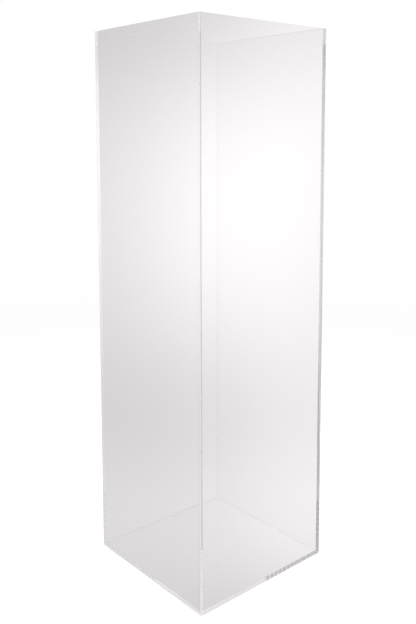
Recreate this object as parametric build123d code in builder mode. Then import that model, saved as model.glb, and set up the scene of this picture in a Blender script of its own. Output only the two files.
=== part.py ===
"""A clear acrylic display plinth: a square column, open at the top, made of five cast sheets cemented edge to face.

The four walls are one shape, turned a quarter each time. Each wall covers the end of the wall before it, so one
cut end shows at each upright corner. The base panel lies inside the walls, flush with their lower ends. A thin
seam of cured cement joins each pair of sheets.

The origin is at the middle of the underside. +Z is up and the front wall faces -Y.
"""

import os

from build123d import *

SIDE = 300.0  # outside width and depth of the plinth
HEIGHT = 1000.0  # overall height
SHEET = 6.0  # thickness of the cast sheet
SEAM = 0.2  # thickness of the cured cement between two sheets
ARRIS = 0.4  # leg of the scraped chamfer on every exposed outer edge
TOUCH = 0.01  # how near a plane an edge is to count as lying on it

HALF = SIDE / 2
INNER = SIDE - 2 * SHEET  # clear width between the walls
WALL_WIDTH = SIDE - SHEET - SEAM  # one end is exposed, and the other is cemented to the next wall
PANEL = INNER - 2 * SEAM

# The quarter turn, in degrees, that carries the front wall, and the seam at its cemented end, to each side.
WALLS = {"front_wall": 0, "right_wall": 90, "back_wall": 180, "left_wall": 270}
CORNER_SEAMS = {
    "front_right_seam": 0,
    "back_right_seam": 90,
    "back_left_seam": 180,
    "front_left_seam": 270,
}


def on_arris(edge):
    """True if the edge lies on two of the plinth's outer planes, where a hand could meet it."""
    middle = edge.center()
    planes_met = [
        abs(abs(middle.X) - HALF) < TOUCH,
        abs(abs(middle.Y) - HALF) < TOUCH,
        abs(middle.Z - HEIGHT / 2) > HEIGHT / 2 - TOUCH,
    ]
    return sum(planes_met) == 2


def save(name, part):
    """Labels a finished piece and writes it as its own STEP file."""
    part.label = name
    export_step(part, f"parts/{name}.step")
    print(f"{name}: {part.volume / 1000:.2f} cm3")


def build_wall(name, turn):
    """One wall sheet, from its exposed end at the near corner to its cemented end, with its arrises scraped."""
    with BuildPart() as wall:
        with BuildSketch(Plane.XY.rotated((0, 0, turn))):
            with Locations((-HALF, -HALF)):
                Rectangle(WALL_WIDTH, SHEET, align=(Align.MIN, Align.MIN))
        extrude(amount=HEIGHT)
        chamfer(wall.edges().filter_by(on_arris), length=ARRIS)
    save(name, wall.part)


def build_corner_seam(name, turn):
    """The upright layer of cement between one wall's hidden end and the inner face of the next wall."""
    with BuildPart() as seam:
        with BuildSketch(Plane.XY.rotated((0, 0, turn))):
            with Locations((-HALF + WALL_WIDTH, -HALF)):
                Rectangle(SEAM, SHEET, align=(Align.MIN, Align.MIN))
        extrude(amount=HEIGHT)
        chamfer(seam.edges().filter_by(on_arris), length=ARRIS)
    save(name, seam.part)


def build_base_panel():
    """The square panel that closes the lower end of the column."""
    with BuildPart() as panel:
        with BuildSketch():
            Rectangle(PANEL, PANEL)
        extrude(amount=SHEET)
    save("base_panel", panel.part)


def build_base_seam():
    """The ring of cement between the base panel's four cut edges and the walls."""
    with BuildPart() as ring:
        with BuildSketch():
            Rectangle(INNER, INNER)
            Rectangle(PANEL, PANEL, mode=Mode.SUBTRACT)
        extrude(amount=SHEET)
    save("base_seam", ring.part)


os.makedirs("parts", exist_ok=True)

for wall_name, quarter in WALLS.items():
    build_wall(wall_name, quarter)

for seam_name, quarter in CORNER_SEAMS.items():
    build_corner_seam(seam_name, quarter)

build_base_panel()
build_base_seam()
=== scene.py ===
"""Looks for the clear acrylic display plinth, a square column of five cemented sheets, open at the top.

Each sheet is rebuilt from its CAD node's box with rounded arrises. Its faces are sorted into polished
faces, flame-polished ends, the one end left as sawn, scraped arrises and bonded faces. A bonded face is
where two sheets are cemented, so it must not bend light: there the sheets and the cement are one clear
body. The cement seams are the CAD nodes with a better material.
"""

import math

import bmesh
import bpy
from mathutils import Euler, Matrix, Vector


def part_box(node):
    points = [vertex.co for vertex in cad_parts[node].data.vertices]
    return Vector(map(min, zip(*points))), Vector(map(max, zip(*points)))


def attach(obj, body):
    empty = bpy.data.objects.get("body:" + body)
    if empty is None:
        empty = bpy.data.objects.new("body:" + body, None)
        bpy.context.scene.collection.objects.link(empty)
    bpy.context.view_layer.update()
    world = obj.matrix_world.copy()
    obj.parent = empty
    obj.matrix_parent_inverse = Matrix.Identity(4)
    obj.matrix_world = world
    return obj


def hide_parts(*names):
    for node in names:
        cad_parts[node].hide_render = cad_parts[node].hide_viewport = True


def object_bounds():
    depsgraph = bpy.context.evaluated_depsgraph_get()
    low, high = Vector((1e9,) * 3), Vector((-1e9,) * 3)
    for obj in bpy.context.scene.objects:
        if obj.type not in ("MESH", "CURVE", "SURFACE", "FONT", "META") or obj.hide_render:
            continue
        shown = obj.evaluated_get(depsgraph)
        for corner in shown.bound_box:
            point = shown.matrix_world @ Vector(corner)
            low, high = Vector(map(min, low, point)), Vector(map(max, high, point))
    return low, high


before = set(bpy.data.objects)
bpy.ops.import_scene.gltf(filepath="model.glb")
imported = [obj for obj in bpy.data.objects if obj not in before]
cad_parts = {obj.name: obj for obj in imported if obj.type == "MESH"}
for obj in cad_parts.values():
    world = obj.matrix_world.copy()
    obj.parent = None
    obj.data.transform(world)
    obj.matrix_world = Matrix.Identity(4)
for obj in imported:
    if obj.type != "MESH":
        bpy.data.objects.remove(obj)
cad_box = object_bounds()

MM = 0.001
LOW, HIGH = cad_box
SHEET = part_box("base_panel")[1].z - LOW.z
CAVITY_LOW = LOW + Vector((SHEET, SHEET, SHEET))
CAVITY_HIGH = HIGH - Vector((SHEET, SHEET, 0.0))
ARRIS = 0.4 * MM
ARRIS_STEPS = 3
TOUCH = 0.01 * MM  # how near a plane a point is to count as lying on it
NEAR_OUTSIDE = 0.99 * ARRIS  # a face whose middle is this near an outer plane is on it or on an arris
SQUARE_ON = 0.999  # a face slopes, and is part of an arris, if no part of its normal is this large
FACING = 0.99  # a face looks along an axis if that part of its normal is larger than this

SHEETS = ("front_wall", "right_wall", "back_wall", "left_wall", "base_panel")
SEAMS = (
    "front_right_seam",
    "back_right_seam",
    "back_left_seam",
    "front_left_seam",
    "base_seam",
)
POLISHED, FLAMED, SAWN, SCRAPED, BONDED = range(5)


# ---------------------------------------------------------------- node helpers


class Tree:
    """Short ways to add and link nodes in one material's or world's tree."""

    def __init__(self, owner):
        owner.use_nodes = True
        self.tree = owner.node_tree
        self.tree.nodes.clear()

    def add(self, kind, inputs=None, **settings):
        node = self.tree.nodes.new(kind)
        for key, value in settings.items():
            setattr(node, key, value)
        for key, value in (inputs or {}).items():
            self.feed(node.inputs[key], value)
        return node

    def feed(self, socket, value):
        if isinstance(value, bpy.types.NodeSocket):
            self.tree.links.new(value, socket)
        else:
            socket.default_value = value

    def maths(self, operation, *values):
        node = self.add("ShaderNodeMath", operation=operation)
        for socket, value in zip(node.inputs, values):
            self.feed(socket, value)
        return node.outputs[0]

    def ramp(self, value, low, high, out_low=0.0, out_high=1.0):
        """A smooth step from out_low to out_high as value goes from low to high."""
        inputs = {
            "Value": value,
            "From Min": low,
            "From Max": high,
            "To Min": out_low,
            "To Max": out_high,
        }
        node = self.add("ShaderNodeMapRange", inputs, interpolation_type="SMOOTHSTEP")
        return node.outputs["Result"]

    def noise(self, scale, detail=3.0, roughness=0.5):
        """Noise in the object's own space, with its scale in features per metre."""
        place = self.add("ShaderNodeTexCoord").outputs["Object"]
        inputs = {"Vector": place, "Scale": scale, "Detail": detail, "Roughness": roughness}
        return self.add("ShaderNodeTexNoise", inputs).outputs["Fac"]

    def bump(self, height, strength, distance):
        inputs = {"Strength": strength, "Distance": distance, "Height": height}
        return self.add("ShaderNodeBump", inputs).outputs[0]

    def surface(self, shader):
        self.add("ShaderNodeOutputMaterial", {"Surface": shader})


# ---------------------------------------------------------------- camera

CAMERA_PLACE = Vector((-0.9242, -1.0656, 0.8083))
CAMERA_AZIMUTH = -40.82  # degrees, as are the dip and the roll
CAMERA_DIP = 6.114
CAMERA_ROLL = -0.117
LENS = 43.643  # mm, as is the sensor's width
SENSOR_WIDTH = 36.0
SHIFT_Y = -0.1533
CLIP_START = 10 * MM


def build_camera():
    data = bpy.data.cameras.new("camera")
    data.lens = LENS
    data.sensor_width = SENSOR_WIDTH
    data.shift_y = SHIFT_Y
    data.clip_start = CLIP_START
    camera = bpy.data.objects.new("camera", data)
    camera.location = CAMERA_PLACE
    turn = Euler((0.0, 0.0, math.radians(CAMERA_AZIMUTH))).to_matrix()
    tilt = Euler((math.radians(90.0 - CAMERA_DIP), 0.0, 0.0)).to_matrix()
    roll = Euler((0.0, 0.0, math.radians(CAMERA_ROLL))).to_matrix()
    camera.rotation_euler = (turn @ tilt @ roll).to_euler()
    bpy.context.scene.collection.objects.link(camera)
    bpy.context.scene.camera = camera


# ---------------------------------------------------------------- materials

TINT = (0.983, 0.979, 0.981, 1.0)
ACRYLIC_IOR = 1.49
SHADE = (0.93, 0.925, 0.93, 1.0)  # what one face of a sheet lets through to the floor

SWELL_SCALE = 6.0  # the slow waves of cast sheet
SWELL_HEIGHT = 2 * MM
SWELL_STRENGTH = 0.03
WIPE_SCALE = 22.0
WIPED_ROUGHNESS = (0.01, 0.05)

MARK_SCALE = 300.0  # fine marks across a cut end
MARK_HEIGHT = 0.2 * MM
MARK_STRENGTH = 0.01
FLAMED_PASSED = (0.97, 1.0)  # the part of the light that a flame-polished end lets through
FLAMED_ROUGHNESS = (0.02, 0.06)
SAWN_PASSED = (0.43, 0.49)
SAWN_ROUGHNESS = (0.08, 0.14)

NICK_SCALE = 500.0
NICK_HEIGHT = 0.2 * MM
NICK_STRENGTH = 0.1
SCRAPED_PALENESS = (0.86, 0.96)
SCRAPED_ROUGHNESS = (0.25, 0.45)

NOISE_MIDDLE = (0.3, 0.7)  # the range that most of a noise lies in
WIPE_RANGE = (0.35, 0.75)

HAZE_SCALE = 60.0
HAZE_RANGE = (0.3, 0.8)
HAZE_PASSED = (0.999, 0.99)
BUBBLE_SCALE = 400.0
BUBBLE_RIM = (0.08, 0.14)
BUBBLE_PASSED = (0.9, 1.0)


def clear_to_lamps(t, shader):
    """The shader, but clear for the rays that light the floor, so that the plinth casts a light shadow."""
    path = t.add("ShaderNodeLightPath")
    lighting = t.maths("MAXIMUM", path.outputs["Is Shadow Ray"], path.outputs["Is Diffuse Ray"])
    shade = t.add("ShaderNodeBsdfTransparent", {"Color": SHADE})
    mix = t.add("ShaderNodeMixShader", {0: lighting, 1: shader, 2: shade.outputs[0]})
    t.surface(mix.outputs[0])


def face_material():
    """Polished cast acrylic: clear, with the slight swell of cast sheet and faint wipe marks."""
    material = bpy.data.materials.new("acrylic_face")
    t = Tree(material)
    swell = t.noise(SWELL_SCALE, detail=1.0)
    wipe = t.noise(WIPE_SCALE, detail=4.0, roughness=0.6)
    shader = t.add(
        "ShaderNodeBsdfPrincipled",
        {
            "Base Color": TINT,
            "Roughness": t.ramp(wipe, *WIPE_RANGE, *WIPED_ROUGHNESS),
            "IOR": ACRYLIC_IOR,
            "Transmission Weight": 1.0,
            "Normal": t.bump(swell, SWELL_STRENGTH, SWELL_HEIGHT),
        },
    )
    clear_to_lamps(t, shader.outputs[0])
    return material


def end_material(name, passed, roughness):
    """A cut end, flame polished or left as sawn, with fine marks across the sheet."""
    material = bpy.data.materials.new(name)
    t = Tree(material)
    marks = t.noise(MARK_SCALE, detail=2.0)
    shader = t.add(
        "ShaderNodeBsdfPrincipled",
        {
            "Base Color": t.ramp(marks, *NOISE_MIDDLE, *passed),
            "Roughness": t.ramp(marks, *NOISE_MIDDLE, *roughness),
            "IOR": ACRYLIC_IOR,
            "Transmission Weight": 1.0,
            "Normal": t.bump(marks, MARK_STRENGTH, MARK_HEIGHT),
        },
    )
    clear_to_lamps(t, shader.outputs[0])
    return material


def arris_material():
    """Scraped arrises: a fine matt line that scatters the light, with nicks along it."""
    material = bpy.data.materials.new("acrylic_arris")
    t = Tree(material)
    nicks = t.noise(NICK_SCALE, detail=2.0)
    shader = t.add(
        "ShaderNodeBsdfPrincipled",
        {
            "Base Color": t.ramp(nicks, *NOISE_MIDDLE, *SCRAPED_PALENESS),
            "Roughness": t.ramp(nicks, *NOISE_MIDDLE, *SCRAPED_ROUGHNESS),
            "IOR": ACRYLIC_IOR,
            "Normal": t.bump(nicks, NICK_STRENGTH, NICK_HEIGHT),
        },
    )
    clear_to_lamps(t, shader.outputs[0])
    return material


def bond_material():
    """Where sheet and cement have fused: nothing bends."""
    material = bpy.data.materials.new("acrylic_bond")
    t = Tree(material)
    t.surface(t.add("ShaderNodeBsdfTransparent").outputs[0])
    return material


def cement_material():
    """Cured cement: nearly clear, a little uneven, with tiny bubbles."""
    material = bpy.data.materials.new("cement")
    t = Tree(material)
    haze = t.ramp(t.noise(HAZE_SCALE), *HAZE_RANGE, *HAZE_PASSED)
    place = t.add("ShaderNodeTexCoord").outputs["Object"]
    cells = t.add("ShaderNodeTexVoronoi", {"Vector": place, "Scale": BUBBLE_SCALE})
    bubble = t.ramp(cells.outputs["Distance"], *BUBBLE_RIM, *BUBBLE_PASSED)
    passed = t.maths("MULTIPLY", haze, bubble)
    t.surface(t.add("ShaderNodeBsdfTransparent", {"Color": passed}).outputs[0])
    return material


# ---------------------------------------------------------------- sheets


def outer_planes(point, near):
    """How many of the plinth's outer planes the point lies on."""
    return sum(
        point[axis] < LOW[axis] + near or point[axis] > HIGH[axis] - near for axis in range(3)
    )


def in_cavity(point):
    """True if the point lies in the hollow of the plinth or on its walls."""
    return all(
        CAVITY_LOW[axis] - TOUCH < point[axis] < CAVITY_HIGH[axis] + TOUCH for axis in range(3)
    )


def round_arrises(mesh):
    """Rounds each edge that lies on two outer planes."""
    arrises = []
    for edge in mesh.edges:
        middle = (edge.verts[0].co + edge.verts[1].co) / 2
        if outer_planes(middle, TOUCH) == 2:
            arrises.append(edge)
    bmesh.ops.bevel(
        mesh,
        geom=arrises,
        offset=ARRIS,
        offset_type="OFFSET",
        segments=ARRIS_STEPS,
        profile=0.5,
        affect="EDGES",
    )


def cut_at_cavity(mesh):
    """Cuts the faces where the cemented strips begin."""
    cuts = (
        (0, CAVITY_LOW.x),
        (0, CAVITY_HIGH.x),
        (1, CAVITY_LOW.y),
        (1, CAVITY_HIGH.y),
        (2, CAVITY_LOW.z),
    )
    for axis, place in cuts:
        at = Vector((0.0, 0.0, 0.0))
        along = Vector((0.0, 0.0, 0.0))
        at[axis] = place
        along[axis] = 1.0
        geometry = mesh.verts[:] + mesh.edges[:] + mesh.faces[:]
        bmesh.ops.bisect_plane(mesh, geom=geometry, dist=TOUCH, plane_co=at, plane_no=along)


def face_kind(face, thin_axis):
    """Sorts a face of a sheet. The only end left as sawn is the one that faces the back."""
    centre = face.calc_center_median()
    if not in_cavity(centre) and outer_planes(centre, NEAR_OUTSIDE) == 0:
        return BONDED
    if max(abs(part) for part in face.normal) < SQUARE_ON:
        return SCRAPED
    if abs(face.normal[thin_axis]) > FACING:
        return POLISHED
    return SAWN if face.normal.y > FACING else FLAMED


def build_sheet(node, materials):
    """A sheet piece from its CAD node's box."""
    low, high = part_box(node)
    size = high - low
    thin_axis = min(range(3), key=lambda axis: size[axis])
    mesh = bmesh.new()
    bmesh.ops.create_cube(mesh, size=1.0)
    bmesh.ops.scale(mesh, vec=size, verts=mesh.verts)
    bmesh.ops.translate(mesh, vec=(low + high) / 2, verts=mesh.verts)
    round_arrises(mesh)
    cut_at_cavity(mesh)
    bmesh.ops.recalc_face_normals(mesh, faces=mesh.faces)
    for face in mesh.faces:
        face.material_index = face_kind(face, thin_axis)
    data = bpy.data.meshes.new(node + "_sheet")
    mesh.to_mesh(data)
    mesh.free()
    for material in materials:
        data.materials.append(material)
    piece = bpy.data.objects.new(node + "_sheet", data)
    bpy.context.scene.collection.objects.link(piece)
    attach(piece, "root")
    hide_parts(node)


# ---------------------------------------------------------------- studio

FLOOR_DROP = 0.5 * MM
FLOOR_RADIUS = 3.0
FLOOR_SIDES = 96
FLOOR_FADE = (0.9, 2.6)  # how far out the floor starts to fade, and where it is gone
FLOOR_COLOUR = (0.92, 0.92, 0.92, 1.0)

LAMP_PLACE = Vector((0.0, 0.0, 3.0))  # a lamp shines down its own -Z, so it needs no turn
LAMP_WIDTH = 2.5
LAMP_POWER = 85.0

STUDIO_COLOUR = (1.018, 0.990, 0.997, 1.0)
STUDIO_BASE = 0.55
WHITE = (1.0, 1.0, 1.0, 1.0)
# Soft patches of the studio seen through and reflected in the sheets, lit or dark: azimuth and elevation
# in degrees, spread across and up, and strength.
PATCHES = {
    "middle of the backdrop": (-41, -6, 0.09, 0.17, 0.28),
    "tall glow on its right": (-50, -12, 0.09, 0.94, 0.32),
    "lit floor to the right": (-104, -28, 0.90, 0.065, 0.33),
    "lamps to the right of the camera": (-123, 1, 0.58, 0.09, 0.45),
    "dark doorway to the left": (52, -14, 0.10, 0.80, -0.41),
    "windows round it": (35, -7, 0.71, 0.18, 0.45),
    "row of high lamps to the right": (-98, 29, 0.56, 0.06, 0.45),
    "small lamp over the backdrop": (-34, 36, 0.09, 0.06, 0.45),
    "lamp beside the camera": (-138, -9, 0.17, 0.14, 0.50),
}
LIGHT_BOUNCES = 96


def build_floor():
    """A pale floor that fades into the white surround. The acrylic shows the studio, not the floor."""
    mesh = bmesh.new()
    bmesh.ops.create_circle(mesh, cap_ends=True, segments=FLOOR_SIDES, radius=FLOOR_RADIUS)
    bmesh.ops.translate(mesh, vec=(0.0, 0.0, LOW.z - FLOOR_DROP), verts=mesh.verts)
    data = bpy.data.meshes.new("floor")
    mesh.to_mesh(data)
    mesh.free()
    floor = bpy.data.objects.new("floor", data)
    bpy.context.scene.collection.objects.link(floor)
    material = bpy.data.materials.new("floor")
    t = Tree(material)
    place = t.add("ShaderNodeTexCoord").outputs["Object"]
    away = t.add("ShaderNodeVectorMath", {0: place}, operation="LENGTH").outputs["Value"]
    solid = t.add("ShaderNodeBsdfDiffuse", {"Color": FLOOR_COLOUR})
    clear = t.add("ShaderNodeBsdfTransparent")
    fade = t.ramp(away, *FLOOR_FADE)
    mix = t.add("ShaderNodeMixShader", {0: fade, 1: solid.outputs[0], 2: clear.outputs[0]})
    t.surface(mix.outputs[0])
    data.materials.append(material)
    floor.visible_glossy = False
    floor.visible_transmission = False


def build_lamp():
    """The large soft lamp that lights the floor."""
    data = bpy.data.lights.new("overhead", "AREA")
    data.shape = "SQUARE"
    data.size = LAMP_WIDTH
    data.energy = LAMP_POWER
    lamp = bpy.data.objects.new("overhead", data)
    lamp.location = LAMP_PLACE
    bpy.context.scene.collection.objects.link(lamp)


def towards(azimuth, elevation):
    """The unit vector at an azimuth and elevation in degrees. Azimuth 0 is +Y and 90 is -X."""
    around = math.radians(azimuth)
    up = math.radians(elevation)
    level = math.cos(up)
    return Vector((-math.sin(around) * level, math.cos(around) * level, math.sin(up)))


def patch_light(t, way, azimuth, elevation, across, up, strength):
    """The light of one soft patch, which falls off round its middle like a bell curve."""
    centre = towards(azimuth, elevation)
    off = t.add("ShaderNodeVectorMath", {0: way, 1: centre}, operation="SUBTRACT").outputs[0]
    spread = (1 / across, 1 / across, 1 / up)
    scaled = t.add("ShaderNodeVectorMath", {0: off, 1: spread}, operation="MULTIPLY").outputs[0]
    far = t.add("ShaderNodeVectorMath", {0: scaled, 1: scaled}, operation="DOT_PRODUCT")
    fall = t.maths("EXPONENT", t.maths("MULTIPLY", far.outputs["Value"], -0.5))
    return t.maths("MULTIPLY", fall, strength)


def build_world():
    """White to the camera. To all other rays, an even pale studio with soft patches."""
    world = bpy.data.worlds.new("studio")
    bpy.context.scene.world = world
    t = Tree(world)
    way = t.add("ShaderNodeTexCoord").outputs["Generated"]
    level = STUDIO_BASE
    for patch in PATCHES.values():
        level = t.maths("ADD", patch_light(t, way, *patch), level)
    studio = t.add("ShaderNodeBackground", {"Color": STUDIO_COLOUR, "Strength": level})
    white = t.add("ShaderNodeBackground", {"Color": WHITE, "Strength": 1.0})
    seen = t.add("ShaderNodeLightPath").outputs["Is Camera Ray"]
    mix = t.add("ShaderNodeMixShader", {0: seen, 1: studio.outputs[0], 2: white.outputs[0]})
    t.add("ShaderNodeOutputWorld", {"Surface": mix.outputs[0]})


def set_scene():
    """Plain colours, sharp reflections, and bounces enough for light guided along a sheet."""
    scene = bpy.context.scene
    scene.view_settings.view_transform = "Standard"
    scene.cycles.blur_glossy = 0.0
    scene.cycles.min_light_bounces = LIGHT_BOUNCES
    scene.cycles.min_transparent_bounces = LIGHT_BOUNCES
    scene.cycles.max_bounces = LIGHT_BOUNCES
    scene.cycles.glossy_bounces = LIGHT_BOUNCES
    scene.cycles.transmission_bounces = LIGHT_BOUNCES
    scene.cycles.transparent_max_bounces = LIGHT_BOUNCES


# ---------------------------------------------------------------- the scene

build_camera()

sheet_materials = (
    face_material(),
    end_material("acrylic_flamed_end", FLAMED_PASSED, FLAMED_ROUGHNESS),
    end_material("acrylic_sawn_end", SAWN_PASSED, SAWN_ROUGHNESS),
    arris_material(),
    bond_material(),
)
for sheet in SHEETS:
    build_sheet(sheet, sheet_materials)

cement = cement_material()
for seam in SEAMS:
    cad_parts[seam].data.materials.clear()
    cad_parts[seam].data.materials.append(cement)

build_floor()
build_lamp()
build_world()
set_scene()
